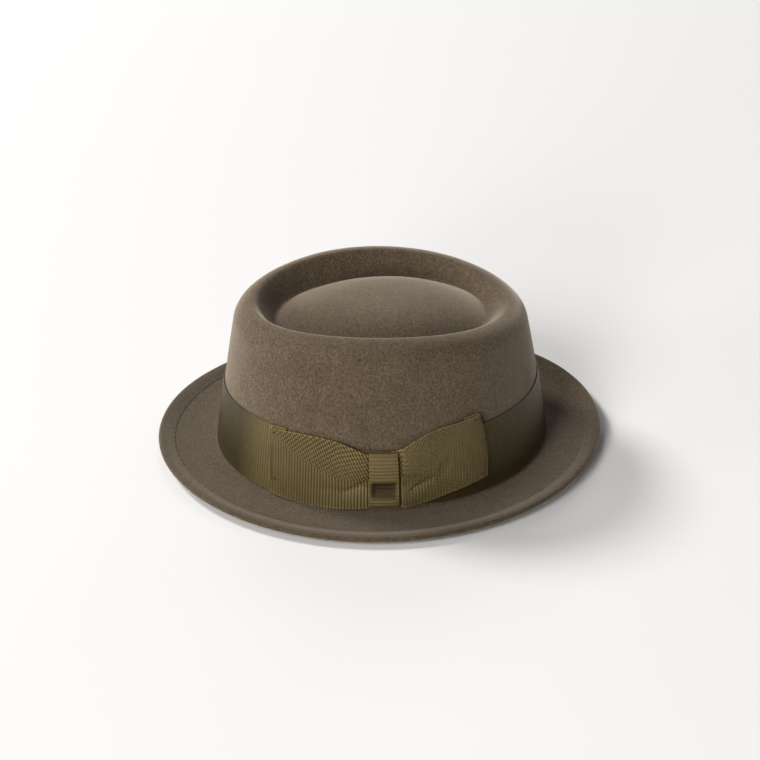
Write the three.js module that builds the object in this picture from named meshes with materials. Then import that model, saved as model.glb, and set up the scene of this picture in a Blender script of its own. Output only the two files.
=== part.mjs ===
// A pork pie hat: a felt body of crown and brim in one piece, a ribbon band, a flat bow, and the
// knot that binds the bow to the band.
// Millimetres, +Z up. The wearer faces -Y and the bow is on the wearer's left, at +X.
// The origin is on the surface that the hat rests on, below the middle of the hat.
// Angles go round the head from the wearer's left, at 0, through the back, at a quarter turn.
import * as THREE from "three";

// Felt
const FELT = 1.8; // thickness of one layer
const WELT = 3; // thickness of the brim's edge, where the felt is folded over and pressed
const WELT_WIDTH = 10.5; // how far the fold reaches in from the edge
const WELT_STEP = 0.5; // width of the slope from the fold down to the brim
const HALF_LENGTH = 100.5; // outside of the crown at the brim, from the middle to the back
const HALF_WIDTH = 86.2; // the same to the side
const BACK_FULLNESS = 0.02; // share by which the oval is wider behind the ears
const BREAK_RADIUS = 1.4; // inside corner between brim and crown
const SEAT_WIDTH = 6; // the brim is flat this far out from the crown, and the hat rests there
const BRIM_CURL = 1.6; // power of the brim's rise from the flat part to its edge
const WALL_LEAN = 0.146; // how far the crown's wall leans in, for each millimetre of height
const WALL_CURVE = 0.00037; // and how that grows, for each square millimetre
const SHOULDER_START = 0.887; // share of the crest's height where the wall turns in
const CREST_HANDLE = 5.2; // how far the crest stays level before it rolls in
const GROOVE_HANDLE = 4; // how far the groove stays level before it meets the rolled rim
const GROOVE_INSET = 38; // from the foot of the crown in to the bottom of the groove inside the rim
const GROOVE_HEIGHT = 79; // above the brim
const DOME_HEIGHT = 91.2; // the middle of the top, above the brim
const DOME_FLATNESS = 3.5; // 2 is a round dome, and more has a flatter middle and steeper sides
const DOME_FOOT = 1.15; // above 1, the side of the dome turns level where it meets the groove

// What changes round the hat: its mean, what the back adds and the front takes off, and what the
// two sides add and the front and back take off.
const ROUND_THE_HAT = {
  crestHeight: { mean: 91.8, back: -2.7, sides: 3.1 }, // above the brim
  shoulderWidth: { mean: 10.3, back: 0.4, sides: 1 },
  brimWidth: { mean: 31.9, back: -1.2, sides: -1.3 }, // to the middle of the rounded edge
  edgeHeight: { mean: 5.5, back: 0.4, sides: -1.8 }, // of the middle of that edge, above the floor
};

// Ribbon
const RIBBON = 1;
const GAP = 0.35; // between two layers
const BAND_BOTTOM = 1.6; // above the brim
const BAND_WIDTH = 40.8;
const BOW_ANGLE = THREE.MathUtils.degToRad(-3.4); // the middle of the bow is a little to the front
const KNOT_HALF_WIDTH = 8;
const PINCHED = 9.5; // the bow and the band keep their pinched shape this far from their middle
const KNOT_BOTTOM = 4.4; // above the brim
const KNOT_TOP = 37.9;
const LIFT_REACH = 24; // from the middle of the bow to where the band lies on the felt again
const PINCH = { below: 30, above: 40 }; // and to where the band has its full width again
const CREASE = 0.4; // the pleat of the pinched bow, as a share of its width from its lower edge
const LOBE = 1.5; // how far the ribbon stands up on each side of the pleat
const LOBE_REACH = 34; // from the middle of the bow to where the pleat has run out

// The bow from the front end to the back end: distance along the ribbon from its middle, and the
// heights of its two edges above the brim. Lean moves the upper edge along and the lower edge back.
const BOW_SECTIONS = [
  { along: -69.6, bottom: 1.3, top: 42.4, lean: -1.2 },
  { along: -55, bottom: 0.5, top: 42.7, lean: -0.6 },
  { along: -40, bottom: 0.4, top: 42.7, lean: 0 },
  { along: -28, bottom: 0.4, top: 41.4, lean: 0 },
  { along: -17, bottom: 1.2, top: 39.2, lean: 0 },
  { along: -PINCHED, bottom: 5.75, top: 36.55, lean: 0 },
  { along: PINCHED, bottom: 5.75, top: 36.55, lean: 0 },
  { along: 15, bottom: 3, top: 41.6, lean: 0 },
  { along: 24, bottom: 3.9, top: 45.2, lean: 0 },
  { along: 36, bottom: 5.9, top: 48.7, lean: -0.5 },
  { along: 48, bottom: 7.9, top: 51.4, lean: -1 },
  { along: 60.3, bottom: 10.3, top: 51.9, lean: -1.6 },
];

// How finely the surfaces are divided
const FELT_STATIONS = 60;
const BOW_STEPS = 3; // from one section of the bow to the next
const BAND_STEP = 6;
const BAND_LEVELS = 3;
const BOW_LEVELS = 8;
const KNOT_COLUMNS = 4;

const FELT_FINISH = new THREE.MeshStandardMaterial({ color: 0x75675a, roughness: 0.95, metalness: 0 });
const RIBBON_FINISH = new THREE.MeshStandardMaterial({ color: 0x5f5536, roughness: 0.6, metalness: 0 });

const { lerp, smoothstep } = THREE.MathUtils;
const point = (inward, z) => new THREE.Vector2(inward, z);
const shares = (count) => Array.from({ length: count + 1 }, (_, i) => i / count);

function roundTheHat(name, angle) {
  const { mean, back, sides } = ROUND_THE_HAT[name];
  return mean + back * Math.sin(angle) + sides * Math.cos(2 * angle);
}

// The plan of the head, let out by a distance.
function headOval(angle, outward) {
  const fullness = 1 + BACK_FULLNESS * Math.sin(angle);
  return new THREE.Vector2(
    (HALF_WIDTH + outward) * Math.cos(angle) * fullness,
    (HALF_LENGTH + outward) * Math.sin(angle),
  );
}

// How far the crown's wall has leaned in at a height above the brim.
function wallLean(height) {
  return WALL_LEAN * height + WALL_CURVE * height ** 2;
}

// A closed solid from loops of points. The loops follow one another round a ring, or end in two
// caps, where each loop is the front of a strip followed by its back in reverse.
function loft(loops, isRing) {
  const count = loops[0].length;
  const faces = [];
  const addQuad = (a, b, c, d) => faces.push(a, b, c, a, c, d);
  const spans = isRing ? loops.length : loops.length - 1;
  for (let i = 0; i < spans; i++) {
    const here = i * count;
    const next = ((i + 1) % loops.length) * count;
    for (let j = 0; j < count; j++) {
      const k = (j + 1) % count;
      addQuad(here + j, next + j, next + k, here + k);
    }
  }
  if (!isRing) {
    const last = (loops.length - 1) * count;
    for (let j = 0; j < count / 2 - 1; j++) {
      const across = count - 1 - j;
      addQuad(j, j + 1, across - 1, across);
      addQuad(last + j, last + across, last + across - 1, last + j + 1);
    }
  }
  return solid(loops.flat(), faces);
}

function solid(points, faces) {
  const geometry = new THREE.BufferGeometry().setFromPoints(points);
  geometry.setIndex(faces);
  geometry.computeVertexNormals();
  return geometry;
}

// Felt body. A section is drawn as distance in from the foot of the crown, and height.

function brimUnderside(angle, outward) {
  const width = roundTheHat("brimWidth", angle);
  const rise = roundTheHat("edgeHeight", angle) - WELT / 2;
  return rise * (Math.max(outward - SEAT_WIDTH, 0) / (width - SEAT_WIDTH)) ** BRIM_CURL;
}

// From the underside of the edge, round it and in over the fold and the brim to the crown.
function brimTop(angle) {
  const width = roundTheHat("brimWidth", angle);
  const edgeHeight = roundTheHat("edgeHeight", angle);
  const foldEnd = width - WELT_WIDTH;
  const brimEnd = foldEnd - WELT_STEP;
  const edge = new THREE.EllipseCurve(
    -width, edgeHeight, WELT / 2, WELT / 2, -Math.PI / 2, Math.PI / 2, true,
  );
  const fold = shares(2).slice(1).map((share) => lerp(width, foldEnd, share));
  const brim = shares(3).slice(0, 3).map((share) => lerp(brimEnd, BREAK_RADIUS, share));
  return [
    ...edge.getPoints(4),
    ...fold.map((outward) => point(-outward, brimUnderside(angle, outward) + WELT)),
    ...brim.map((outward) => point(-outward, brimUnderside(angle, outward) + FELT)),
  ];
}

// Up the wall, over the shoulder and the crest, and down into the groove.
function crownOutside(angle) {
  const crest = roundTheHat("crestHeight", angle);
  const shoulder = roundTheHat("shoulderWidth", angle);
  const shoulderStart = SHOULDER_START * crest;
  const corner = new THREE.EllipseCurve(
    -BREAK_RADIUS, BREAK_RADIUS, BREAK_RADIUS + wallLean(BREAK_RADIUS), BREAK_RADIUS, -Math.PI / 2, 0,
  );
  const wall = shares(3).slice(1).map((share) => lerp(BREAK_RADIUS, shoulderStart, share));
  const turn = shares(4).slice(1).map((share) => (share * Math.PI) / 2);
  const crestInset = wallLean(crest) + shoulder;
  const rim = new THREE.CubicBezierCurve(
    point(crestInset, crest),
    point(crestInset + CREST_HANDLE, crest),
    point(GROOVE_INSET - GROOVE_HANDLE, GROOVE_HEIGHT),
    point(GROOVE_INSET, GROOVE_HEIGHT),
  );
  const outline = [
    ...corner.getPoints(2),
    ...wall.map((height) => point(wallLean(height), height)),
    ...turn.map((a) => {
      const height = lerp(shoulderStart, crest, Math.sin(a));
      return point(wallLean(height) + shoulder * (1 - Math.cos(a)), height);
    }),
    ...rim.getPoints(6).slice(1),
  ];
  return outline.map(({ x, y }) => point(x, y + FELT));
}

// From beside the groove nearly to the middle of the top.
function domeOutside(angle) {
  const reach = headOval(angle, -GROOVE_INSET).length();
  return [0.94, 0.83, 0.66, 0.38].map((share) => {
    const rise = (DOME_HEIGHT - GROOVE_HEIGHT) * (1 - share ** DOME_FLATNESS) ** DOME_FOOT;
    return point(GROOVE_INSET + reach * (1 - share), GROOVE_HEIGHT + rise + FELT);
  });
}

// A line moved square to itself, towards the head, by the thickness of the felt.
function insideOf(line) {
  return line.map((here, i) => {
    const ahead = line[Math.min(i + 1, line.length - 1)];
    const behind = line[Math.max(i - 1, 0)];
    const way = ahead.clone().sub(behind).normalize();
    return point(here.x + FELT * way.y, here.y - FELT * way.x);
  });
}

function placeOnHead(angle, inward, z) {
  const plan = headOval(angle, -Math.min(inward, GROOVE_INSET));
  plan.setLength(plan.length() - Math.max(inward - GROOVE_INSET, 0));
  return new THREE.Vector3(plan.x, plan.y, z);
}

function feltBody() {
  const sections = shares(FELT_STATIONS).slice(0, -1).map((share) => {
    const angle = share * 2 * Math.PI;
    const crown = [...crownOutside(angle), ...domeOutside(angle)];
    const width = roundTheHat("brimWidth", angle);
    const underBrim = shares(4).slice(0, 4).map((out) => lerp(SEAT_WIDTH, width, out));
    const above = [...brimTop(angle), ...crown];
    const below = [
      ...insideOf(crown).slice(1).reverse(),
      point(-BREAK_RADIUS, 0),
      ...underBrim.map((outward) => point(-outward, brimUnderside(angle, outward))),
    ];
    return { above: above.length, line: [...above, ...below].map(({ x, y }) => placeOnHead(angle, x, y)) };
  });
  const count = sections[0].line.length;
  const lastAbove = sections[0].above - 1;
  const points = sections.flatMap(({ line }) => line);
  const middleTop = points.push(new THREE.Vector3(0, 0, DOME_HEIGHT + FELT)) - 1;
  const middleUnder = points.push(new THREE.Vector3(0, 0, DOME_HEIGHT)) - 1;
  const faces = [];
  for (let i = 0; i < FELT_STATIONS; i++) {
    const here = i * count;
    const next = ((i + 1) % FELT_STATIONS) * count;
    for (let j = 0; j < count; j++) {
      const k = (j + 1) % count;
      if (j === lastAbove) {
        faces.push(here + j, next + j, middleTop);
        faces.push(next + k, here + k, middleUnder);
      } else {
        faces.push(here + j, next + j, next + k, here + j, next + k, here + k);
      }
    }
  }
  return solid(points, faces);
}

// Ribbon. A point on it is a distance along it from the middle of the bow, positive to the back, a
// lift off the felt, and a height above the brim.

class RibbonLine extends THREE.Curve {
  getPoint(share, target = new THREE.Vector3()) {
    const middle = BAND_BOTTOM + BAND_WIDTH / 2;
    const plan = headOval(BOW_ANGLE + share * 2 * Math.PI, GAP - wallLean(middle));
    return target.set(plan.x, plan.y, middle);
  }
}

const ribbonLine = new RibbonLine();
ribbonLine.arcLengthDivisions = 720;
const ribbonLength = ribbonLine.getLength();

function placeOnCrown(along, lift, height) {
  const share = ribbonLine.getUtoTmapping(0, (along + ribbonLength) % ribbonLength);
  const plan = headOval(BOW_ANGLE + share * 2 * Math.PI, lift - wallLean(height));
  return new THREE.Vector3(plan.x, plan.y, height + FELT);
}

// 1 round the middle of the bow, 0 beyond a distance from it.
function nearKnot(along, reach) {
  return 1 - smoothstep(Math.abs(along), PINCHED, reach);
}

const bowStart = BOW_SECTIONS[0].along;
const bowEnd = BOW_SECTIONS.at(-1).along;
const bowStations = BOW_SECTIONS.slice(0, -1).flatMap(({ along }, i) => {
  const steps = shares(BOW_STEPS).slice(0, -1);
  return steps.map((share) => lerp(along, BOW_SECTIONS[i + 1].along, share));
});
bowStations.push(bowEnd);
const insideKnot = RIBBON + GAP; // from the knot's outer face to what it holds

function bandLift(along) {
  return GAP + insideKnot * nearKnot(along, LIFT_REACH);
}

function bandEdges(along) {
  const bottomPinch = KNOT_BOTTOM + insideKnot - BAND_BOTTOM;
  const topPinch = BAND_BOTTOM + BAND_WIDTH - (KNOT_TOP - insideKnot);
  return {
    bottom: BAND_BOTTOM + bottomPinch * nearKnot(along, PINCH.below),
    top: BAND_BOTTOM + BAND_WIDTH - topPinch * nearKnot(along, PINCH.above),
  };
}

function hatBand() {
  const bare = ribbonLength - (bowEnd - bowStart);
  const bareStations = shares(Math.round(bare / BAND_STEP)).slice(1, -1);
  const stations = [...bowStations, ...bareStations.map((share) => bowEnd + bare * share)];
  const loops = stations.map((station) => {
    const along = station > ribbonLength / 2 ? station - ribbonLength : station;
    const { bottom, top } = bandEdges(along);
    const lift = bandLift(along);
    const heights = shares(BAND_LEVELS).map((share) => lerp(bottom, top, share));
    const back = heights.map((height) => placeOnCrown(along, lift, height));
    const front = heights.map((height) => placeOnCrown(along, lift + RIBBON, height));
    return [...front, ...back.reverse()];
  });
  return loft(loops, true);
}

// The row of the bow at a distance along it, between the two sections that it lies between.
function bowSection(along) {
  const next = Math.max(BOW_SECTIONS.findIndex((section) => section.along >= along), 1);
  const before = BOW_SECTIONS[next - 1];
  const after = BOW_SECTIONS[next];
  const share = (along - before.along) / (after.along - before.along);
  const between = (name) => lerp(before[name], after[name], share);
  return { bottom: between("bottom"), top: between("top"), lean: between("lean") };
}

// The pinch folds the ribbon into two lobes, with a pleat between them.
function lobeLift(along, share) {
  const lobe = share < CREASE ? (CREASE - share) / CREASE : (share - CREASE) / (1 - CREASE);
  const swell = Math.sin(Math.PI * Math.min(lobe * 0.8, 1));
  return LOBE * swell * nearKnot(along, LOBE_REACH);
}

function bowLift(along, share) {
  return bandLift(along) + RIBBON + GAP + lobeLift(along, share);
}

function bowRibbon() {
  const loops = bowStations.map((along) => {
    const { bottom, top, lean } = bowSection(along);
    const levels = shares(BOW_LEVELS).map((share) => ({
      place: along + lean * (2 * share - 1),
      lift: bowLift(along, share),
      height: lerp(bottom, top, share),
    }));
    const front = levels.map((at) => placeOnCrown(at.place, at.lift + RIBBON, at.height));
    const back = levels.map((at) => placeOnCrown(at.place, at.lift, at.height));
    return [...front, ...back.reverse()];
  });
  return loft(loops, false);
}

// A flat sleeve round the pinch of the bow and the band behind it.
function bowKnot() {
  const inside = { bottom: KNOT_BOTTOM + RIBBON, top: KNOT_TOP - RIBBON };
  const frontLine = shares(BOW_LEVELS).map((share) => {
    const lift = bowLift(0, share) + insideKnot;
    return point(lift, lerp(inside.bottom, inside.top, share));
  });
  const backLine = shares(2).map((share) => {
    return point(GAP + RIBBON, lerp(inside.top, inside.bottom, share));
  });
  const line = [...frontLine, ...backLine];
  const loops = line.map((here, i) => {
    const ahead = line[(i + 1) % line.length];
    const behind = line[(i + line.length - 1) % line.length];
    const out = new THREE.Vector2();
    for (const way of [ahead.clone().sub(here), here.clone().sub(behind)]) {
      out.add(way.normalize());
    }
    const corner = Math.max(out.lengthSq() / 4, 0.25);
    const reach = RIBBON / Math.sqrt(corner);
    out.normalize();
    const columns = shares(KNOT_COLUMNS).map((share) => {
      return lerp(-KNOT_HALF_WIDTH, KNOT_HALF_WIDTH, share);
    });
    const inner = columns.map((along) => placeOnCrown(along, here.x, here.y));
    const outer = columns.map((along) => {
      return placeOnCrown(along, here.x + reach * out.y, here.y - reach * out.x);
    });
    return [...inner, ...outer.reverse()];
  });
  return loft(loops, true);
}

function part(name, geometry, material) {
  const mesh = new THREE.Mesh(geometry, material);
  mesh.name = name;
  return mesh;
}

const hat = new THREE.Group();
hat.add(
  part("felt_body", feltBody(), FELT_FINISH),
  part("hat_band", hatBand(), RIBBON_FINISH),
  part("bow_ribbon", bowRibbon(), RIBBON_FINISH),
  part("bow_knot", bowKnot(), RIBBON_FINISH),
);
hat.position.y = -ROUND_THE_HAT.brimWidth.back; // the brim is longer in front, so its middle is there

export default hat;
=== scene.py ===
import bisect
import math

import bpy
from mathutils import Matrix, Vector, kdtree, noise


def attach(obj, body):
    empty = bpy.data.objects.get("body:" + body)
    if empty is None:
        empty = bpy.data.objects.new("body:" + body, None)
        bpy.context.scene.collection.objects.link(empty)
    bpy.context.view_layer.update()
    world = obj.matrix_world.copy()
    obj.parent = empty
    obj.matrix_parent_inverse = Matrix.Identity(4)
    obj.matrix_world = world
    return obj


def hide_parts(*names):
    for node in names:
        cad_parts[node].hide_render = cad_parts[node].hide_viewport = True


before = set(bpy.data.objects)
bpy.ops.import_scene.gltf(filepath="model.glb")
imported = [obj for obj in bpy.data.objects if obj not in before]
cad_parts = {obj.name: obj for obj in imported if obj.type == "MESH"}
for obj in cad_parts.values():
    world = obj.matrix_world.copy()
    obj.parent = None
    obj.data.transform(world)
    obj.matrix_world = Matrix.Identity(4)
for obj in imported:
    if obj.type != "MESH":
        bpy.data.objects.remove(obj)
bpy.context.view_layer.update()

mm = 0.001
print("frame loaded:", sorted(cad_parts))


# small helpers

def mix(low, high, share):
    return low + (high - low) * share


def smooth(value, low, high):
    share = min(max((value - low) / (high - low), 0), 1)
    return share * share * (3 - 2 * share)


def readTable(table, at):
    # value of a table of (place, value) pairs, straight between its rows
    places = [row[0] for row in table]
    i = min(max(bisect.bisect_right(places, at) - 1, 0), len(table) - 2)
    share = min(max((at - places[i]) / (places[i + 1] - places[i]), 0), 1)
    return mix(table[i][1], table[i + 1][1], share)


def letGo():
    if bpy.context.object and bpy.context.object.mode != "OBJECT":
        bpy.ops.object.mode_set(mode="OBJECT")
    for other in bpy.context.selected_objects:
        other.select_set(False)


def pickUp(piece):
    letGo()
    piece.select_set(True)
    bpy.context.view_layer.objects.active = piece


def rename(name):
    piece = bpy.context.object
    piece.name = name
    piece.data.name = name
    return piece


def applyModifier(piece, kind, **settings):
    pickUp(piece)
    modifier = piece.modifiers.new(kind.title(), kind)
    for key, value in settings.items():
        setattr(modifier, key, value)
    bpy.ops.object.modifier_apply(modifier=modifier.name)


def smoothShading(piece, degrees):
    pickUp(piece)
    bpy.ops.object.shade_smooth_by_angle(angle=math.radians(degrees))


# Nodes that the materials share

def newMaterial(name):
    material = bpy.data.materials.new(name)
    material.use_nodes = True
    return material


def partsOf(material):
    tree = material.node_tree
    return tree.nodes, tree.links, tree.nodes["Principled BSDF"]


def noiseNode(nodes, links, source, scale, detail, roughness, stretch=(1, 1, 1)):
    coordinates = nodes.new("ShaderNodeTexCoord")
    mapping = nodes.new("ShaderNodeMapping")
    mapping.inputs["Scale"].default_value = stretch
    texture = nodes.new("ShaderNodeTexNoise")
    texture.inputs["Scale"].default_value = scale
    texture.inputs["Detail"].default_value = detail
    texture.inputs["Roughness"].default_value = roughness
    links.new(coordinates.outputs[source], mapping.inputs["Vector"])
    links.new(mapping.outputs["Vector"], texture.inputs["Vector"])
    return texture


def rampNode(nodes, links, source, stops, colour):
    # a ramp from one brightness of a colour to another
    ramp = nodes.new("ShaderNodeValToRGB")
    for i, (place, brightness) in enumerate(stops):
        stop = ramp.color_ramp.elements[i] if i < 2 else ramp.color_ramp.elements.new(place)
        stop.position = place
        stop.color = (*[channel * brightness for channel in colour[:3]], 1)
    links.new(source, ramp.inputs["Fac"])
    return ramp


def multiplyNode(nodes, links, first, second):
    blend = nodes.new("ShaderNodeMix")
    blend.data_type = "RGBA"
    blend.blend_type = "MULTIPLY"
    blend.inputs["Factor"].default_value = 1
    links.new(first, blend.inputs[6])
    links.new(second, blend.inputs[7])
    return blend.outputs[2]


def layTones(nodes, links, layers):
    # ramps of (source, stops, colour), multiplied together from the first to the last
    tones = [rampNode(nodes, links, *layer).outputs["Color"] for layer in layers]
    tone = tones[0]
    for over in tones[1:]:
        tone = multiplyNode(nodes, links, tone, over)
    return tone


def addNode(nodes, links, first, second, weight):
    # first + weight * second
    total = nodes.new("ShaderNodeMath")
    total.operation = "MULTIPLY_ADD"
    links.new(second, total.inputs[0])
    total.inputs[1].default_value = weight
    links.new(first, total.inputs[2])
    return total.outputs["Value"]


def stretchNode(nodes, links, source, axis, low, high):
    # how far a point is from low to high along one axis, from 0 to 1
    coordinates = nodes.new("ShaderNodeTexCoord")
    apart = nodes.new("ShaderNodeSeparateXYZ")
    reach = nodes.new("ShaderNodeMapRange")
    reach.inputs["From Min"].default_value = low
    reach.inputs["From Max"].default_value = high
    links.new(coordinates.outputs[source], apart.inputs["Vector"])
    links.new(apart.outputs[axis], reach.inputs["Value"])
    return reach.outputs["Result"]


def waveNode(nodes, links, vector, axis, period, distortion):
    # even stripes, one for each period, square to the axis
    wave = nodes.new("ShaderNodeTexWave")
    wave.bands_direction = axis
    wave.inputs["Scale"].default_value = 2 * math.pi / (20 * period)
    wave.inputs["Distortion"].default_value = distortion
    links.new(vector, wave.inputs["Vector"])
    return wave


def baseColour(material):
    # the nodes and links of a material, and the tone that its shader has so far
    nodes, links, shader = partsOf(material)
    return nodes, links, shader.inputs["Base Color"], shader.inputs["Base Color"].links[0].from_socket


# Camera: 0.75 m out on the bow side and 0.49 m up, looking down on the hat

cameraSettings = {
    "place": (0.75206, -0.05773, 0.48590),
    "turn": (59.1825, 0.7864, 85.1047),
    "lens": 68.76,
}


def addCamera():
    letGo()
    turn = [math.radians(angle) for angle in cameraSettings["turn"]]
    bpy.ops.object.camera_add(location=cameraSettings["place"], rotation=turn)
    camera = rename("studio_camera")
    camera.data.lens = cameraSettings["lens"]
    camera.data.sensor_width = 36
    bpy.context.scene.camera = camera
    bpy.context.scene.view_settings.view_transform = "Standard"


# Studio: a pale floor, a dim room, a high key light from the far left and six weaker lights round the hat

studio = {
    "roomColour": (1.0, 0.985, 0.965),
    "roomStrength": 0.09,
    "floorColour": (0.86, 0.86, 0.865, 1),
    "floorSize": 12,
    "floorRoughness": 0.9,
    "floorSpecular": 0.1,
    "floorGrain": 900,
    "lights": {
        # place, size in metres, watts, colour
        "key_light": ((-2.95, -3.5, 3.95), 1.6, 264, (1.0, 0.99, 0.97)),
        "front_light": ((2.23, -2.23, 2.51), 2.0, 85, (1.0, 0.985, 0.96)),
        "low_front_light": ((3.39, -1.96, 0.88), 1.3, 67, (1.0, 0.985, 0.96)),
        "left_light": ((0.68, -3.85, 0.88), 1.3, 26, (1.0, 0.985, 0.96)),
        "back_light": ((-3.39, 1.96, 0.88), 1.3, 18, (1.0, 0.99, 0.98)),
        "back_right_light": ((-1.96, 3.39, 0.88), 1.3, 5, (1.0, 0.99, 0.98)),
        "high_back_light": ((-3.15, 0.0, 2.51), 1.6, 22, (1.0, 0.99, 0.98)),
    },
    "aim": (0.0, 0.0, 0.05),
}


def addStudio():
    world = bpy.data.worlds.new("studio_room")
    bpy.context.scene.world = world
    world.use_nodes = True
    sky = world.node_tree.nodes["Background"]
    sky.inputs["Color"].default_value = (*studio["roomColour"], 1)
    sky.inputs["Strength"].default_value = studio["roomStrength"]

    letGo()
    bpy.ops.mesh.primitive_plane_add(size=studio["floorSize"], location=(0, 0, 0))
    floor = rename("studio_floor")
    paper = newMaterial("floor_paper")
    nodes, links, shader = partsOf(paper)
    shader.inputs["Roughness"].default_value = studio["floorRoughness"]
    shader.inputs["Specular IOR Level"].default_value = studio["floorSpecular"]
    grain = noiseNode(nodes, links, "Object", studio["floorGrain"], 3, 0.6)
    tone = rampNode(nodes, links, grain.outputs["Fac"], [(0, 0.985), (1, 1.0)], studio["floorColour"])
    links.new(tone.outputs["Color"], shader.inputs["Base Color"])
    floor.data.materials.append(paper)

    for name, (place, size, watts, colour) in studio["lights"].items():
        letGo()
        bpy.ops.object.light_add(type="AREA", location=place)
        lamp = rename(name)
        lamp.data.shape = "DISK"
        lamp.data.size = size
        lamp.data.energy = watts
        lamp.data.color = colour
        lamp.visible_camera = False
        aim = Vector(studio["aim"]) - Vector(place)
        lamp.rotation_euler = aim.to_track_quat("-Z", "Y").to_euler()


# Finishes

feltFinish = {
    "colour": (0.092, 0.0675, 0.0435),
    "roughness": 0.95,
    "specular": 0.2,
    "sheen": 0.7,
    "sheenRoughness": 0.4,
    "sheenTint": (1.0, 0.86, 0.7, 1),
    "bumpDepth": 0.2 * mm,
    "bumpStrength": 0.6,
    # noise scales, from the finest
    "fibres": 1300,
    "flecks": 620,
    "patches": 150,
    "wear": 22,
    # painted shade: the brim is a little darker than the crown, below this height
    "brimShadeTop": 16 * mm,
    "brimShade": [(0.55, 0.8), (1, 1)],
}


def feltMaterial():
    material = newMaterial("mottled_felt")
    nodes, links, shader = partsOf(material)
    shader.inputs["Roughness"].default_value = feltFinish["roughness"]
    shader.inputs["Specular IOR Level"].default_value = feltFinish["specular"]
    shader.inputs["Sheen Weight"].default_value = feltFinish["sheen"]
    shader.inputs["Sheen Roughness"].default_value = feltFinish["sheenRoughness"]
    shader.inputs["Sheen Tint"].default_value = feltFinish["sheenTint"]

    stretch = (1, 1, 0.6)
    fibres = noiseNode(nodes, links, "Object", feltFinish["fibres"], 4, 0.8, stretch)
    flecks = noiseNode(nodes, links, "Object", feltFinish["flecks"], 3, 0.7)
    patches = noiseNode(nodes, links, "Object", feltFinish["patches"], 4, 0.65, stretch)
    wear = noiseNode(nodes, links, "Object", feltFinish["wear"], 2, 0.5)
    # painted shade: how far up the brim a point is, for the darker brim
    low = stretchNode(nodes, links, "Object", "Z", 0, feltFinish["brimShadeTop"])

    # each layer's brightness is laid over the one before
    layers = [
        (fibres.outputs["Fac"], [(0.34, 0.48), (0.66, 1.52)], feltFinish["colour"]),
        (flecks.outputs["Fac"], [(0.32, 0.7), (0.68, 1.3)], (1, 1, 1)),
        (patches.outputs["Fac"], [(0.3, 0.88), (0.7, 1.1)], (1, 1, 1)),
        (wear.outputs["Fac"], [(0.3, 0.95), (0.7, 1.05)], (1, 0.995, 0.985)),
        # painted shade: the last layer darkens the brim, most nearest the floor
        (low, feltFinish["brimShade"], (1, 1, 1)),
    ]
    links.new(layTones(nodes, links, layers), shader.inputs["Base Color"])

    height = addNode(nodes, links, fibres.outputs["Fac"], patches.outputs["Fac"], 1.5)
    bump = nodes.new("ShaderNodeBump")
    bump.inputs["Strength"].default_value = feltFinish["bumpStrength"]
    bump.inputs["Distance"].default_value = feltFinish["bumpDepth"]
    links.new(height, bump.inputs["Height"])
    links.new(bump.outputs["Normal"], shader.inputs["Normal"])
    return material


ribbonFinish = {
    "colour": (0.092, 0.0695, 0.0285),
    "specular": 0.62,
    "specularTint": (1.0, 0.78, 0.42, 1),
    "bumpDepth": 0.05 * mm,
    "bumpStrength": 0.5,
    "threadPitch": 0.3,
    "yarn": 0.9,
    "clouds": 45,
}


def ribbonMaterial(name, ribPitch, width, valley=0.5, topEdgeHighlight=1.2, roughness=0.38):
    # the ribbon's own map is in millimetres: along it first, and across it second
    material = newMaterial(name)
    nodes, links, shader = partsOf(material)
    shader.inputs["Specular IOR Level"].default_value = ribbonFinish["specular"]
    shader.inputs["Specular Tint"].default_value = ribbonFinish["specularTint"]

    ownMap = nodes.new("ShaderNodeTexCoord").outputs["UV"]
    ribs = waveNode(nodes, links, ownMap, "X", ribPitch, 0)
    ribs.inputs["Phase Offset"].default_value = math.pi / 2
    threads = waveNode(nodes, links, ownMap, "Y", ribbonFinish["threadPitch"], 1.2)
    yarn = noiseNode(nodes, links, "UV", ribbonFinish["yarn"], 3, 0.6, (1, 0.12, 1))
    clouds = noiseNode(nodes, links, "Object", ribbonFinish["clouds"], 2, 0.5)
    across = stretchNode(nodes, links, "UV", "Y", 0, width)

    layers = [
        # painted light and shade: the rib crests lighter and the valleys between them darker
        (ribs.outputs["Fac"], [(0, valley), (0.75, 1.2)], ribbonFinish["colour"]),
        (threads.outputs["Fac"], [(0, 0.9), (1, 1.06)], (1, 1, 1)),
        (yarn.outputs["Fac"], [(0.3, 0.86), (0.7, 1.12)], (1, 1, 1)),
        (clouds.outputs["Fac"], [(0.3, 0.95), (0.7, 1.05)], (1, 1, 1)),
        # painted highlight: both selvedges lighter, as where an edge catches the light; the top one is set
        # apart
        (across, [(0, 1.2), (0.02, 1), (0.98, 1), (1, topEdgeHighlight)], (1, 1, 1)),
    ]
    links.new(layTones(nodes, links, layers), shader.inputs["Base Color"])

    gloss = nodes.new("ShaderNodeMapRange")
    gloss.inputs["To Min"].default_value = roughness - 0.05
    gloss.inputs["To Max"].default_value = roughness + 0.08
    links.new(yarn.outputs["Fac"], gloss.inputs["Value"])
    links.new(gloss.outputs["Result"], shader.inputs["Roughness"])

    bump = nodes.new("ShaderNodeBump")
    bump.inputs["Strength"].default_value = ribbonFinish["bumpStrength"]
    bump.inputs["Distance"].default_value = ribbonFinish["bumpDepth"]
    links.new(addNode(nodes, links, threads.outputs["Fac"], yarn.outputs["Fac"], 1.2), bump.inputs["Height"])
    links.new(bump.outputs["Normal"], shader.inputs["Normal"])
    return material


def paintShadeAlong(material, length, stops):
    # painted shade: brightness that changes along the ribbon
    nodes, links, base, tone = baseColour(material)
    along = stretchNode(nodes, links, "UV", "X", 0, length)
    tint = rampNode(nodes, links, along, stops, (1, 1, 1))
    links.new(multiplyNode(nodes, links, tone, tint.outputs["Color"]), base)


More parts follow.
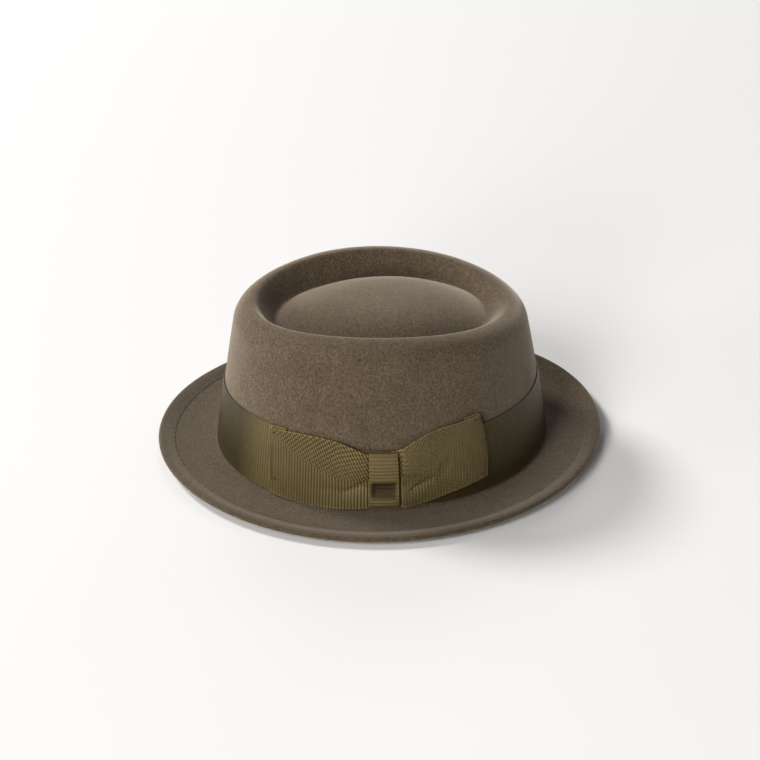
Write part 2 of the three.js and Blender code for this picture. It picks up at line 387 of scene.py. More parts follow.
def crossGrain(material, period, angle):
    # a fine weave that slants across the ribs
    nodes, links, base, tone = baseColour(material)
    coordinates = nodes.new("ShaderNodeTexCoord")
    turned = nodes.new("ShaderNodeMapping")
    turned.inputs["Rotation"].default_value = (0, 0, -angle)
    links.new(coordinates.outputs["UV"], turned.inputs["Vector"])
    lines = waveNode(nodes, links, turned.outputs["Vector"], "X", period, 0.6)
    shade = rampNode(nodes, links, lines.outputs["Fac"], [(0.15, 0.84), (0.8, 1.1)], (1, 1, 1))
    links.new(multiplyNode(nodes, links, tone, shade.outputs["Color"]), base)


def paintShadePatch(material, along, across, soft, colour):
    # painted shade: a darker patch of the ribbon, with soft edges
    nodes, links, base, tone = baseColour(material)
    sides = [("X", along[0], soft), ("X", along[1], -soft), ("Y", across[0], soft), ("Y", across[1], -soft)]
    edges = [stretchNode(nodes, links, "UV", axis, place, place + inward) for axis, place, inward in sides]
    patch = edges[0]
    for edge in edges[1:]:
        product = nodes.new("ShaderNodeMath")
        product.operation = "MULTIPLY"
        links.new(patch, product.inputs[0])
        links.new(edge, product.inputs[1])
        patch = product.outputs["Value"]
    patchShade = nodes.new("ShaderNodeValToRGB")
    patchShade.color_ramp.elements[0].color = (1, 1, 1, 1)
    patchShade.color_ramp.elements[1].color = (*colour, 1)
    links.new(patch, patchShade.inputs["Fac"])
    links.new(multiplyNode(nodes, links, tone, patchShade.outputs["Color"]), base)


threadFinish = {
    "roughness": 0.7,
    "twist": 2500,
    "brimColour": (0.035, 0.026, 0.017),
    "tackColour": (0.014, 0.011, 0.006),
}


def threadMaterial(name, colour):
    material = newMaterial(name)
    nodes, links, shader = partsOf(material)
    shader.inputs["Roughness"].default_value = threadFinish["roughness"]
    twist = noiseNode(nodes, links, "Object", threadFinish["twist"], 2, 0.5)
    tone = rampNode(nodes, links, twist.outputs["Fac"], [(0.35, 0.7), (0.65, 1.2)], colour)
    links.new(tone.outputs["Color"], shader.inputs["Base Color"])
    return material


# The head. Lengths from here on are in millimetres until a point is placed.

headShape = {
    "halfLength": 100.5,
    "halfWidth": 86.2,
    "backFullness": 0.02,
    "middle": 1.2,            # the crown's middle is this far behind the hat's
    "wallLean": 0.146,
    "wallCurve": 0.00037,
}

feltCut = {
    "felt": 1.8,
    "foldHeight": 3.0,
    "foldWidth": 8.4,
    "foldPressed": 2.12,      # at its cut edge
    # how far out from the fold's end, and how far above the felt below
    "cutEdge": [
        (0.42, 0.31), (0.2, 0.26), (0.05, 0.17), (0.02, 0.06),
        (0.08, -0.04), (-0.1, -0.09), (-0.3, -0.05),
    ],
    "edgeRoom": 0.7,          # kept free for it on both sides
    "seatWidth": 6,
    "brimCurl": 1.6,
    "breakRadius": 1.4,
    "shoulderStart": 0.887,
    "crestHandle": 5.2,
    "grooveHandle": 4,
    "grooveInset": 38,
    "grooveHeight": 79,
    "domeHeight": 91.2,
    "domeFlatness": 3.3,
    "domeFoot": 1.15,
    "stations": 288,
    "unevenness": 0.28,
    # mean, what the back adds, what both sides add
    "crestHeight": (91.8, -2.7, 3.1),
    "shoulderWidth": (10.3, 0.4, 1),
    "brimWidth": (31.9, -1.2, -1.3),
    "edgeHeight": (5.5, 0.4, -1.8),
}


def roundTheHat(name, angle):
    mean, back, sides = feltCut[name]
    if angle is None:
        return mean
    return mean + back * math.sin(angle) + sides * math.cos(2 * angle)


def headOval(angle, outward):
    fullness = 1 + headShape["backFullness"] * math.sin(angle)
    across = (headShape["halfWidth"] + outward) * math.cos(angle) * fullness
    return across, (headShape["halfLength"] + outward) * math.sin(angle)


def wallLean(height):
    return headShape["wallLean"] * height + headShape["wallCurve"] * height ** 2


def brimUnderside(angle, outward):
    seat = feltCut["seatWidth"]
    rise = roundTheHat("edgeHeight", angle) - feltCut["foldHeight"] / 2
    share = max(outward - seat, 0) / (roundTheHat("brimWidth", angle) - seat)
    return rise * share ** feltCut["brimCurl"]


def bezier(a, b, c, d, t):
    s = 1 - t
    weights = (s ** 3, 3 * s * s * t, 3 * s * t * t, t ** 3)
    return [sum(weight * value for weight, value in zip(weights, values)) for values in zip(a, b, c, d)]


def spread(low, high, count):
    return [mix(low, high, i / count) for i in range(count + 1)]


def crownLine(angle):
    # (inward, height) up the wall, over the shoulder and the crest, down to the groove, over the dome
    cut = feltCut
    crest = roundTheHat("crestHeight", angle)
    shoulder = roundTheHat("shoulderWidth", angle)
    start = cut["shoulderStart"] * crest
    corner = cut["breakRadius"]
    line = []
    for turn in spread(0, math.pi / 2, 5)[:-1]:
        inward = -corner + (corner + wallLean(corner)) * math.sin(turn)
        line.append((inward, corner - corner * math.cos(turn)))
    line += [(wallLean(height), height) for height in spread(corner, start, 30)]
    for turn in spread(0, math.pi / 2, 14)[1:]:
        height = mix(start, crest, math.sin(turn))
        line.append((wallLean(height) + shoulder * (1 - math.cos(turn)), height))
    inset = wallLean(crest) + shoulder
    handles = [
        (inset, crest),
        (inset + cut["crestHandle"], crest),
        (cut["grooveInset"] - cut["grooveHandle"], cut["grooveHeight"]),
        (cut["grooveInset"], cut["grooveHeight"]),
    ]
    line += [tuple(bezier(*handles, t)) for t in spread(0, 1, 24)[1:]]
    return [(inward, height + cut["felt"]) for inward, height in line]


def domeLine(reach):
    # from the groove in to the middle, closest together beside the groove
    cut = feltCut
    shares = [
        0.985, 0.97, 0.95, 0.925, 0.9, 0.87, 0.84, 0.8, 0.75, 0.69, 0.62, 0.54, 0.45, 0.35, 0.25, 0.15, 0.07,
    ]
    swell = cut["domeHeight"] - cut["grooveHeight"]
    line = []
    for share in shares:
        rise = swell * (1 - share ** cut["domeFlatness"]) ** cut["domeFoot"]
        line.append((cut["grooveInset"] + reach * (1 - share), cut["grooveHeight"] + rise + cut["felt"]))
    return line


def brimLine(angle):
    # from the underside of the edge, round it, in over the fold and down its cut edge to the crown
    cut = feltCut
    width = roundTheHat("brimWidth", angle)
    edge = roundTheHat("edgeHeight", angle)
    radius = cut["foldHeight"] / 2
    line = []
    for turn in spread(-math.pi / 2, math.pi / 2, 10):
        line.append((-width - radius * math.cos(turn), edge + radius * math.sin(turn)))
    foldEnd = width - cut["foldWidth"]
    for outward in spread(width, foldEnd + cut["edgeRoom"], 10)[1:]:
        thickness = mix(cut["foldPressed"], cut["foldHeight"], smooth(outward, foldEnd, width - 2))
        line.append((-outward, brimUnderside(angle, outward) + thickness))
    # the cut edge is round above and tucked in below
    for away, above in cut["cutEdge"]:
        line.append((-(foldEnd + away), brimUnderside(angle, foldEnd) + cut["felt"] + above))
    for outward in spread(foldEnd - cut["edgeRoom"], cut["breakRadius"], 14)[:-1]:
        line.append((-outward, brimUnderside(angle, outward) + cut["felt"]))
    return line


def insideOf(line):
    # the line moved square to itself by the thickness of the felt
    inner = []
    for i, here in enumerate(line):
        ahead = line[min(i + 1, len(line) - 1)]
        behind = line[max(i - 1, 0)]
        way = Vector((ahead[0] - behind[0], ahead[1] - behind[1])).normalized()
        inner.append((here[0] + feltCut["felt"] * way.y, here[1] - feltCut["felt"] * way.x))
    return inner


def feltSection(angle, reach):
    # from the dome out over the crest and down to the brim, round its edge, and back underneath
    seatWidth = feltCut["seatWidth"]
    width = roundTheHat("brimWidth", angle)
    crown = crownLine(angle) + domeLine(reach)
    above = brimLine(angle) + crown
    below = [(-outward, brimUnderside(angle, outward)) for outward in spread(seatWidth, width, 10)[:-1]]
    seat = [(-seatWidth * share, 0) for share in (0.8, 0.5, 0.25)]
    return above[::-1] + below[::-1] + seat + insideOf(crown)[1:]


def ovalReach(angle):
    across, along = headOval(angle, -feltCut["grooveInset"])
    return math.hypot(across, along)


def placeOnHead(angle, inward, height):
    groove = feltCut["grooveInset"]
    across, along = headOval(angle, -min(inward, groove))
    if inward > groove:
        reach = math.hypot(across, along)
        shrink = (reach - (inward - groove)) / reach
        across, along = across * shrink, along * shrink
    return Vector((across, along + headShape["middle"], height))


def feltBody():
    # the section is drawn in the plane of the side, spun round, and then blocked onto the head
    halfWidth = headShape["halfWidth"]
    meanReach = halfWidth - feltCut["grooveInset"]
    mean = feltSection(None, meanReach)
    middleTop = (halfWidth, feltCut["domeHeight"] + feltCut["felt"])
    middleUnder = (halfWidth, feltCut["domeHeight"])
    mean = [middleTop] + mean + [middleUnder]
    drawn = [Vector((halfWidth - inward, 0, height)) * mm for inward, height in mean]

    letGo()
    bpy.ops.mesh.primitive_plane_add(size=mm, location=drawn[0])
    hat = rename("felt_hat")
    bpy.ops.object.transform_apply(location=True, rotation=False, scale=False)
    bpy.ops.object.mode_set(mode="EDIT")
    bpy.ops.mesh.select_all(action="SELECT")
    bpy.ops.mesh.merge(type="CENTER")
    for here, ahead in zip(drawn, drawn[1:]):
        bpy.ops.mesh.extrude_vertices_move(TRANSFORM_OT_translate={"value": ahead - here})
    bpy.ops.mesh.select_all(action="SELECT")
    bpy.ops.mesh.spin(
        steps=feltCut["stations"], angle=2 * math.pi, use_auto_merge=True, center=(0, 0, 0), axis=(0, 0, 1)
    )
    bpy.ops.mesh.select_all(action="SELECT")
    bpy.ops.mesh.remove_doubles(threshold=0.002 * mm)
    bpy.ops.mesh.normals_make_consistent(inside=False)
    bpy.ops.object.mode_set(mode="OBJECT")
    print("felt spun:", len(hat.data.vertices), "points")

    sectionPoints = kdtree.KDTree(len(mean))
    for i, point in enumerate(drawn):
        sectionPoints.insert(point, i)
    sectionPoints.balance()
    sections = {}
    last = len(mean) - 1
    for vertex in hat.data.vertices:
        flat = Vector((math.hypot(vertex.co.x, vertex.co.y), 0, vertex.co.z))
        i = sectionPoints.find(flat)[1]
        if i in (0, last):
            vertex.co = Vector((0, headShape["middle"], mean[i][1])) * mm
            continue
        station = round(math.atan2(vertex.co.y, vertex.co.x) / (2 * math.pi) * feltCut["stations"])
        angle = station * 2 * math.pi / feltCut["stations"]
        if station not in sections:
            sections[station] = feltSection(angle, ovalReach(angle))
        inward, height = sections[station][i - 1]
        vertex.co = placeOnHead(angle, inward, height) * mm
    settleByHand(hat)
    smoothShading(hat, 50)
    return hat


def settleByHand(hat):
    # hand pressing leaves the felt a little uneven, except where the hat rests
    amount = feltCut["unevenness"]
    for vertex in hat.data.vertices:
        place = vertex.co.copy()
        loose = smooth(place.z / mm, 3.5, 9)
        wave = noise.noise(place * 38) * 0.7 + noise.noise(place * 95 + Vector((5, 3, 1))) * 0.3
        out = Vector((place.x, place.y, 0.35 * place.z)).normalized()
        vertex.co = place + out * wave * amount * mm * loose


# Ribbon. A point on it is a distance along the band from the middle of the bow, positive to the
# back, a lift off the felt and a height above the brim.

ribbonCut = {
    "thickness": 0.45,
    "ribPitch": 1.8,
    "columnsPerRib": 6,
    "bandBottom": 1.6,
    "bandWidth": 40.8,
    "bandLift": 0.32,
    "bandRib": 0.085,
    "measuredAt": 0.35,       # the lift at which the band's length is taken
    "crowding": 0.55,
    "bowAngle": -3.4,
    "pinched": 9.5,
}


def measureBandLine():
    middle = ribbonCut["bandBottom"] + ribbonCut["bandWidth"] / 2
    start = math.radians(ribbonCut["bowAngle"])
    steps = 1440
    total, before = 0, None
    lengths, angles = [], []
    for i in range(steps + 1):
        angle = start + 2 * math.pi * i / steps
        here = Vector(headOval(angle, ribbonCut["measuredAt"] - wallLean(middle)))
        total += (here - before).length if before else 0
        before = here
        lengths.append(total)
        angles.append(angle)
    return lengths, angles


bandLengths, bandAngles = measureBandLine()
bandLength = bandLengths[-1]


def angleAt(along):
    along = along % bandLength
    i = min(bisect.bisect_right(bandLengths, along), len(bandLengths) - 1)
    share = (along - bandLengths[i - 1]) / (bandLengths[i] - bandLengths[i - 1])
    return mix(bandAngles[i - 1], bandAngles[i], share)


def placeOnCrown(along, lift, height):
    across, back = headOval(angleAt(along), lift - wallLean(height))
    return Vector((across, back + headShape["middle"], height + feltCut["felt"])) * mm


def nearKnot(along, reach):
    return 1 - smooth(abs(along), ribbonCut["pinched"], reach)


def cutRibbon(name, length, width, pitch, rows):
    # a flat length of ribbon with its own map in millimetres
    columns = round(length / pitch) * ribbonCut["columnsPerRib"]
    letGo()
    bpy.ops.mesh.primitive_grid_add(x_subdivisions=columns, y_subdivisions=rows, size=1)
    strip = rename(name)
    bpy.ops.object.mode_set(mode="EDIT")
    bpy.ops.mesh.select_all(action="SELECT")
    bpy.ops.transform.resize(value=(length, width, 1))
    bpy.ops.transform.translate(value=(length / 2, width / 2, 0))
    bpy.ops.object.mode_set(mode="OBJECT")
    # its rows lie closer together along both selvedges
    for vertex in strip.data.vertices:
        vertex.co.y = width * crowdEdges(vertex.co.y / width)
    for corner in strip.data.uv_layers.active.data:
        corner.uv = (corner.uv[0] * length, width * crowdEdges(corner.uv[1]))
    return strip


def crowdEdges(share):
    return share - ribbonCut["crowding"] * math.sin(2 * math.pi * share) / (2 * math.pi)


def ribWave(distance, pitch):
    # round ribs with narrow valleys between them
    return abs(math.cos(math.pi * distance / pitch)) ** 0.75 * 2 - 1.2


def shapeRibbon(strip, placeOf):
    for vertex in strip.data.vertices:
        vertex.co = placeOf(vertex.co.x, vertex.co.y)
    thickness = ribbonCut["thickness"] * mm
    applyModifier(strip, "SOLIDIFY", thickness=thickness, offset=0, use_even_offset=False)
    pickUp(strip)
    bpy.ops.object.mode_set(mode="EDIT")
    bpy.ops.mesh.select_all(action="SELECT")
    bpy.ops.mesh.normals_make_consistent(inside=False)
    bpy.ops.object.mode_set(mode="OBJECT")
    smoothShading(strip, 60)


bandShape = {
    "rows": 12,
    "knotLift": 0.85,
    "liftReach": 24,
    "pinchBottom": 4.2,
    "pinchTop": 5.6,
    "pinchBelow": 30,
    "pinchAbove": 40,
    "endGap": 0.3,
    "looseness": 0.12,
    # painted shade: share of the way round from the bow by the back, and brightness of the ribbon there;
    # darker where the band lies in shade, full only on the lit side
    "paintedShade": [(0.09, 0.3), (0.5, 0.64), (0.832, 0.3), (0.866, 1.0)],
}


def bandLift(along):
    return ribbonCut["bandLift"] + bandShape["knotLift"] * nearKnot(along, bandShape["liftReach"])


def bandRibbon():
    length = bandLength
    pitch = length / round(length / ribbonCut["ribPitch"])
    strip = cutRibbon("band_ribbon", length, ribbonCut["bandWidth"], pitch, bandShape["rows"])

    def place(x, y):
        along = x if x <= length / 2 else x - length
        share = y / ribbonCut["bandWidth"]
        bottom = ribbonCut["bandBottom"]
        bottom += bandShape["pinchBottom"] * nearKnot(along, bandShape["pinchBelow"])
        top = ribbonCut["bandBottom"] + ribbonCut["bandWidth"]
        top -= bandShape["pinchTop"] * nearKnot(along, bandShape["pinchAbove"])
        rib = ribbonCut["bandRib"] * ribWave(x, pitch)
        loose = bandShape["looseness"] * noise.noise(Vector((along * 0.03, share * 2, 7)))
        lift = bandLift(along) + ribbonCut["thickness"] / 2 + rib + loose
        # the ends stop just short of each other under the knot
        end = bandShape["endGap"] if x < length / 2 else -bandShape["endGap"]
        closeness = 1 - smooth(min(x, length - x), 0, 4)
        return placeOnCrown(x + end * closeness, lift, mix(bottom, top, share))

    shapeRibbon(strip, place)
    print("band cut and laid on:", round(length, 1), "mm long")
    return strip


# The bow's two wings. Each is a length of ribbon from under the knot to a turned end.

wingShape = {
    "ribHeight": 0.17,
    "beadLength": 2.2,
    "beadHeight": 1.1,
    "beadShift": 0.42,        # from one rib to the next, in beads
    "grainPeriod": 1.957,
    "grainAngle": math.radians(62.8),
    "underKnot": 12.0,        # reaches this far past the middle of the bow
    "turn": 1.6,              # taken up in the turn at the wing's end
    "turnRadius": 0.27,
    "hem": 14,
    "hemPeek": 0.85,
    "width": 41.5,
    "selvedge": 0.14,
    # painted shade of the dent where the front wing's turned end is stitched: heights, soft edge and colour
    "shadedStitchHeight": (8, 32),
    "shadedStitchSoft": 0.5,
    "shadedStitchTint": (0.26, 0.23, 0.2),
    "rows": 96,
    # lifts off the band: at least, mostly, and more beside the knot
    "leastLift": 0.22,
    "lift": 0.5,
    "knotLift": 0.45,
    "upperLobe": 1.5,
    "lowerLobe": 0.8,
    "lobeSpan": 0.8,
    "lobeReach": 36,
    "looseness": 0.18,
}

frontWing = {
    "name": "bow_wing_front",
    "way": -1,
    "rise": (5, 9.5),
    "endLift": 0.75,
    # where a line of painted shade marks the dent of the stitching, along the ribbon
    "shadedStitchLine": (78.9, 80.1),
    "end": 69.2,
    "slant": 0.5,
    # distance from the middle of the bow, and height above the brim
    "bottom": [
        (0, 5.0), (9, 3.6), (12.6, 2.5), (21.4, 1.0), (30.4, 0.2),
        (39.6, 0.1), (49.3, 0.4), (59.6, 1.3), (70, 2.4),
    ],
    "top": [
        (0, 35.6), (8, 35.8), (11.1, 36.6), (17.1, 38.8), (26.4, 41.3),
        (36.1, 42.4), (46, 42.6), (55.2, 42.4), (70, 41.4),
    ],
    "slantAbove": [(8, 19.5), (26, 18.8), (40, 24.6), (50, 28.6), (56, 33), (70, 42)],
    "valley": [(8, 16), (13, 15.5), (20, 13), (26, 12), (36, 14)],
    "endCurve": [(0, -2.3), (11, -2.0), (31, -0.9), (43, 0)],
    # from, to, depth, reach above the line and below it
    "creases": [
        ((9, 21.5), (13.4, 17.4), 0.4, 0.7, 2.2),
        ((13.4, 17.4), (22, 12), 0.4, 0.8, 2.5),
        ((22, 12), (34, 13), 0.2, 1.5, 3),
    ],
}

backWing = {
    "name": "bow_wing_back",
    "way": 1,
    "rise": (7.2, 11.5),
    "endLift": 1.15,
    "shadedStitchLine": None,
    "end": 61.0,
    "slant": 0.62,
    "bottom": [
        (0, 5.0), (7, 3.6), (9.3, 3.0), (18.2, 3.7), (27.3, 5.1),
        (34.9, 6.8), (41.7, 8.0), (51.9, 10.1), (62, 11.9),
    ],
    "top": [
        (0, 36.4), (7, 37.0), (10.8, 38.9), (17.9, 42.4), (25.6, 45.3),
        (34.5, 47.2), (44.7, 48.3), (52, 49.1), (62, 49.8),
    ],
    "slantAbove": [(8, 21), (23.5, 22.5), (33.5, 30), (46, 42), (60, 51)],
    "valley": [(8, 16), (17, 17.5), (25, 19), (36, 22)],
    "endCurve": [(11, -1.2), (20.5, -0.2), (30.7, 0), (40, -0.7), (50, -2.8)],
    "creases": [
        ((15.5, 14.3), (25.6, 18.7), 1.0, 0.55, 2.4),
        ((9, 22), (17, 21.4), 0.3, 1.0, 2),
        ((32.5, 22), (34.5, 25.5), 1.2, 1.1, 3),
    ],
}


def distanceToLine(place, start, end):
    way = Vector(end) - Vector(start)
    reach = Vector(place) - Vector(start)
    share = min(max(reach.dot(way) / way.length_squared, 0), 1)
    return (reach - way * share).length, way.x * reach.y > way.y * reach.x


def wingPlace(wing, outward, share):
    # where a point of the flat ribbon comes to lie: distance from the middle of the bow, and height
    distance = outward
    height = mix(readTable(wing["bottom"], outward), readTable(wing["top"], outward), share)
    for _ in range(5):
        fan = wing["slant"] * max(height - readTable(wing["slantAbove"], distance), 0)
        ending = readTable(wing["endCurve"], height) * smooth(outward, 30, wing["end"])
        distance = mix(distance, outward + fan + ending, 0.7)
        at = max(distance, 0)
        height = mix(readTable(wing["bottom"], at), readTable(wing["top"], at), share)
    if distance < 6:
        distance = 1 + 5 * math.exp((distance - 6) / 5)
    return distance, height


def wingLift(wing, distance, height):
    # of the front layer's underside off the felt
    shape = wingShape
    along = wing["way"] * distance
    onBand = bandLift(along) + ribbonCut["thickness"]
    valley = readTable(wing["valley"], distance)
    top, bottom = readTable(wing["top"], distance), readTable(wing["bottom"], distance)
    if height < valley:
        lobe, share = shape["lowerLobe"], (valley - height) / (valley - bottom)
    else:
        lobe, share = shape["upperLobe"], (height - valley) / (top - valley)
    swell = lobe * math.sin(math.pi * min(shape["lobeSpan"] * share, 1))
    lift = onBand + shape["lift"] + (shape["knotLift"] + swell) * nearKnot(along, shape["lobeReach"])
    lift += wing["endLift"] * smooth(distance, wing["end"] - shape["hem"] - 16, wing["end"] - 4)
    for start, end, depth, above, below in wing["creases"]:
        away, isAbove = distanceToLine((distance, height), start, end)
        lift -= depth * math.exp(-(away / (above if isAbove else below)) ** 2)
    lift += shape["looseness"] * noise.noise(Vector((along * 0.07, height * 0.09, 3)))
    least = onBand + shape["leastLift"]
    return mix(least, max(lift, least), smooth(distance, *wing["rise"]))


def wingRib(wing, x, y, distance, height):
    # ribs, which show as rows of beads where the pinch drags them aslant
    shape = wingShape
    pitch = ribbonCut["ribPitch"]
    aslant = smooth(height - readTable(wing["slantAbove"], distance), -3, 5)
    bead = math.cos(2 * math.pi * (y / shape["beadLength"] + shape["beadShift"] * round(x / pitch)))
    rib = ribWave(x, pitch) + shape["beadHeight"] * aslant * bead * abs(math.cos(math.pi * x / pitch))
    return shape["ribHeight"] * rib * smooth(distance, 4, wing["rise"][0] + 2)


def wingRibbon(wing):
    shape = wingShape
    pitch = ribbonCut["ribPitch"]
    start = -shape["underKnot"]
    fold = shape["turn"]
    radius = shape["turnRadius"]
    length = wing["end"] - start + fold + shape["hem"]
    length = round(length / pitch) * pitch
    width = shape["width"]
    strip = cutRibbon(wing["name"], length, width, pitch, shape["rows"])
    turn = wing["end"] - start

    def place(x, y):
        share = y / width
        edge = min(y, width - y)
        selvedge = shape["selvedge"] * math.exp(-(edge / 0.5) ** 2)
        if x <= turn:
            distance, height = wingPlace(wing, start + x, share)
            lift = wingLift(wing, distance, height) + ribbonCut["thickness"] / 2
            soft = smooth(turn - x, 0, 2.5)
            lift = mix(lift - radius, lift, soft) + wingRib(wing, x, y, distance, height) + selvedge
        else:
            past = x - turn
            back = max(past - fold, 0)
            distance, height = wingPlace(wing, wing["end"] - back, share)
            lift = wingLift(wing, wing["end"], height) + ribbonCut["thickness"] / 2
            halfTurn = min(past / fold, 1) * math.pi
            distance += radius * math.sin(halfTurn)
            lift += radius * (math.cos(halfTurn) - 1) - radius * smooth(past, fold, fold + 2)
            height += shape["hemPeek"] * smooth(past, 0.3, fold + 1)
            lift -= 0.3 * shape["ribHeight"] * ribWave(x, pitch)
        return placeOnCrown(wing["way"] * distance, lift, height)

    shapeRibbon(strip, place)
    return strip


knotShape = {
    "ribPitch": 2.0,
    "ribHeight": 0.07,
    "columns": 30,
    "halfWidth": 8.0,
    "back": 0.5,
    # height, and lift of the front
    "front": [
        (3.9, 3.2), (4.6, 4.1), (6.4, 4.7), (9, 4.6), (14, 4.9), (19, 5.3),
        (23, 5.5), (28, 5.6), (32.5, 5.2), (34.6, 4.6), (35.8, 3.9),
    ],
    "dent": 2.35,
    "sideDrop": 0.3,
    "flatLength": 75.5,       # as told to the frame; the loop made here comes to about 71
    # painted shade: brightness of the knot's rib valleys
    "valley": 0.72,
    "roughness": 0.6,
    # painted shade in the knot's dent: its place along and across the ribbon, soft edge and colour
    "hollowAlong": (5.0, 17.6),
    "hollowAcross": (0.4, 15.6),
    "hollowSoft": 1.7,
    "hollowShadeTint": (0.11, 0.07, 0.065),
}


def smoothTable(table, low, high, count):
    # the table as an even run of points, rounded off three times
    values = [readTable(table, at) for at in spread(low, high, count)]
    for _ in range(3):
        values = [
            values[0],
            *[(values[i - 1] + 2 * values[i] + values[i + 1]) / 4 for i in range(1, count)],
            values[-1],
        ]
    return list(zip(spread(low, high, count), values))


def knotRibbon():
    # one turn of ribbon round the pinch of the bow and the band behind it
    shape = knotShape
    foot, head = shape["front"][0][0], shape["front"][-1][0]
    rear = shape["back"]
    arch = [(share, 0.2 * math.sin(math.pi * share)) for share in spread(0, 1, 8)]
    front = [(lift, height) for height, lift in smoothTable(shape["front"], foot, head, 48)]
    top = [(mix(3.5, rear + 0.4, share), 36.2 + swell) for share, swell in arch]
    back = [(rear, height) for height in spread(35.7, 4.1, 20)]
    bottom = [(mix(rear + 0.4, 2.9, share), 3.6 - swell) for share, swell in arch]
    loop = front + top + back + bottom
    lengths = [0]
    closed = loop + [loop[0]]
    for here, ahead in zip(closed, closed[1:]):
        lengths.append(lengths[-1] + math.dist(here, ahead))
    total = lengths[-1]
    pitch = total / round(total / shape["ribPitch"])
    width = 2 * shape["halfWidth"]
    strip = cutRibbon("bow_knot_ribbon", total, width, pitch, shape["columns"])

    def place(x, y):
        at = x % total
        i = min(bisect.bisect_right(lengths, at), len(loop))
        share = (at - lengths[i - 1]) / (lengths[i] - lengths[i - 1])
        here, ahead = closed[i - 1], closed[i]
        lift, height = mix(here[0], ahead[0], share), mix(here[1], ahead[1], share)
        way = Vector((ahead[0] - here[0], ahead[1] - here[1])).normalized()
        rib = shape["ribHeight"] * ribWave(x, pitch)
        lift, height = lift + way.y * rib, height - way.x * rib
        across = y - shape["halfWidth"]
        side = across / shape["halfWidth"]
        isFront = smooth(lift, 2.6, 3.6)
        dent = smooth(height, 8.3, 14) * (1 - smooth(height, 17.6, 20))
        lift -= shape["dent"] * dent * math.exp(-abs(side / 0.88) ** 8) * isFront
        lift -= shape["sideDrop"] * abs(side) ** 4 * isFront
        lean = mix(0.15, -0.35, (height - 4.4) / 33) if across > 0 else 0
        return placeOnCrown(-across * 0.97 + lean, lift, height)

    shapeRibbon(strip, place)
    return strip


# Stitches

stitchShape = {
    "spacing": 5.4,
    "length": 1.5,
    "thread": 0.16,
    "ring": 115,              # mean distance from the hat's middle
    "inside": 0.45,           # of the fold's end, and outside it
    "outside": 0.75,
    "lift": 0.12,
    "slant": 0.004,
}

tackShape = {
    "length": 2.4,
    "thread": 0.3,
    "lift": 0.3,
    # distance along the band from the middle of the bow, and height
    "places": [(-65.9, 39.2), (-63.6, 11.2), (55, 47.4)],
    # the turn and the shift of the two threads of each tack
    "threads": [(0.9, -0.45), (-0.7, 0.5)],
}


def threadBar(length, radius):
    # a short bar of thread, pulled down at both ends
    letGo()
    bpy.ops.mesh.primitive_cylinder_add(
        vertices=8, radius=radius * mm, depth=length * mm, end_fill_type="TRIFAN"
    )
    bar = rename("thread_bar")
    bpy.ops.object.mode_set(mode="EDIT")
    bpy.ops.mesh.select_all(action="SELECT")
    bpy.ops.transform.rotate(value=math.pi / 2, orient_axis="Y", center_override=(0, 0, 0))
    for cut in (-0.3, 0.0, 0.3):
        bpy.ops.mesh.select_all(action="SELECT")
        bpy.ops.mesh.bisect(plane_co=(cut * length * mm, 0, 0), plane_no=(1, 0, 0))
    bpy.ops.object.mode_set(mode="OBJECT")
    for vertex in bar.data.vertices:
        share = vertex.co.x / (length / 2 * mm)
        vertex.co.z -= 2.2 * radius * mm * share ** 2
        vertex.co.y *= 1 - 0.45 * share ** 2
    return bar


def copyOnto(source, places, name):
    # places are 4x4 matrices; each copy has its own mesh, and all are joined into one piece
    copies = []
    for i, matrix in enumerate(places):
        mesh = source.data.copy()
        mesh.transform(matrix)
        copy = bpy.data.objects.new(name + "_" + str(i), mesh)
        bpy.context.scene.collection.objects.link(copy)
        copies.append(copy)
    letGo()
    for copy in copies:
        copy.select_set(True)
    bpy.context.view_layer.objects.active = copies[0]
    bpy.ops.object.join()
    return rename(name)


def frameAt(point, along, up):
    # a place with its x axis along, and its z axis up from the surface
    x = along.normalized()
    z = (up - x * up.dot(x)).normalized()
    y = z.cross(x)
    matrix = Matrix((x, y, z)).transposed().to_4x4()
    matrix.translation = point
    return matrix


def brimStitches():
    cut = feltCut
    bar = threadBar(stitchShape["length"], stitchShape["thread"])
    places = []

    def onFold(angle, outward, lift):
        return placeOnHead(angle, -outward, brimUnderside(angle, outward) + lift) * mm

    count = round(2 * math.pi * stitchShape["ring"] / stitchShape["spacing"])
    for i in range(count):
        angle = 2 * math.pi * i / count
        foldEnd = roundTheHat("brimWidth", angle) - cut["foldWidth"]
        inner = onFold(angle, foldEnd - stitchShape["inside"], cut["felt"] - 0.05)
        slanted = angle + stitchShape["slant"]
        outer = onFold(slanted, foldEnd + stitchShape["outside"], cut["foldPressed"] - 0.02)
        up = Vector((0, 0, 1))
        places.append(frameAt((inner + outer) / 2 + up * stitchShape["lift"] * mm, outer - inner, up))
    stitches = copyOnto(bar, places, "brim_stitches")
    bpy.data.objects.remove(bar)
    smoothShading(stitches, 60)
    return stitches


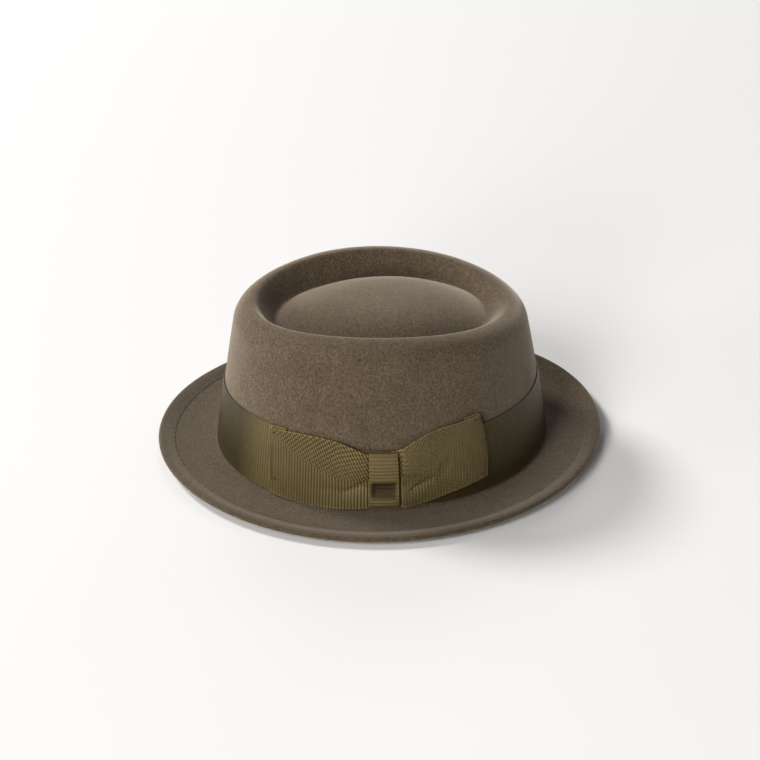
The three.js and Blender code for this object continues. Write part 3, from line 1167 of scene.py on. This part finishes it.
def tackStitches():
    bar = threadBar(tackShape["length"], tackShape["thread"])
    places = []
    for along, height in tackShape["places"]:
        wing = frontWing if along < 0 else backWing
        distance = abs(along)
        lift = wingLift(wing, distance, height) + ribbonCut["thickness"] + tackShape["lift"]
        for turn, shift in tackShape["threads"]:
            here = placeOnCrown(along + shift, lift, height)
            ahead = placeOnCrown(along + shift + math.cos(turn), lift, height + math.sin(turn))
            out = placeOnCrown(along + shift, lift + 1, height) - here
            places.append(frameAt(here, ahead - here, out))
    tacks = copyOnto(bar, places, "bow_tacks")
    bpy.data.objects.remove(bar)
    smoothShading(tacks, 60)
    return tacks


# Putting it together

addCamera()
addStudio()
print("studio ready")

felt = feltBody()
felt.data.materials.append(feltMaterial())
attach(felt, "root")
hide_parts("felt_body")

band = bandRibbon()
bandFinish = ribbonMaterial("band_grosgrain", ribbonCut["ribPitch"], ribbonCut["bandWidth"])
# painted shade along the band, darker away from the lit side of the bow
paintShadeAlong(bandFinish, bandLength, bandShape["paintedShade"])
band.data.materials.append(bandFinish)
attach(band, "root")
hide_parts("hat_band")

for wing in (frontWing, backWing):
    ribbon = wingRibbon(wing)
    finishName = wing["name"] + "_grosgrain"
    # painted highlight along the wings' top edges
    finish = ribbonMaterial(finishName, ribbonCut["ribPitch"], wingShape["width"], topEdgeHighlight=2.4)
    crossGrain(finish, wingShape["grainPeriod"], wingShape["grainAngle"])
    # painted shade along the dent of the stitching near the turned end
    if wing["shadedStitchLine"]:
        patch = (wing["shadedStitchLine"], wingShape["shadedStitchHeight"], wingShape["shadedStitchSoft"])
        paintShadePatch(finish, *patch, wingShape["shadedStitchTint"])
    ribbon.data.materials.append(finish)
    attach(ribbon, "root")
    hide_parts("bow_ribbon")
print("bow folded")

knot = knotRibbon()
knotFinish = ribbonMaterial(
    "knot_grosgrain",
    knotShape["ribPitch"],
    2 * knotShape["halfWidth"],
    valley=knotShape["valley"],
    roughness=knotShape["roughness"],
)
# painted shade in the dent of the knot
hollow = (knotShape["hollowAlong"], knotShape["hollowAcross"], knotShape["hollowSoft"])
paintShadePatch(knotFinish, *hollow, knotShape["hollowShadeTint"])
knot.data.materials.append(knotFinish)
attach(knot, "root")
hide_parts("bow_knot")

brimThread = brimStitches()
brimThread.data.materials.append(threadMaterial("brim_thread", threadFinish["brimColour"]))
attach(brimThread, "root")

tackThread = tackStitches()
tackThread.data.materials.append(threadMaterial("tack_thread", threadFinish["tackColour"]))
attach(tackThread, "root")
print("stitches sewn")
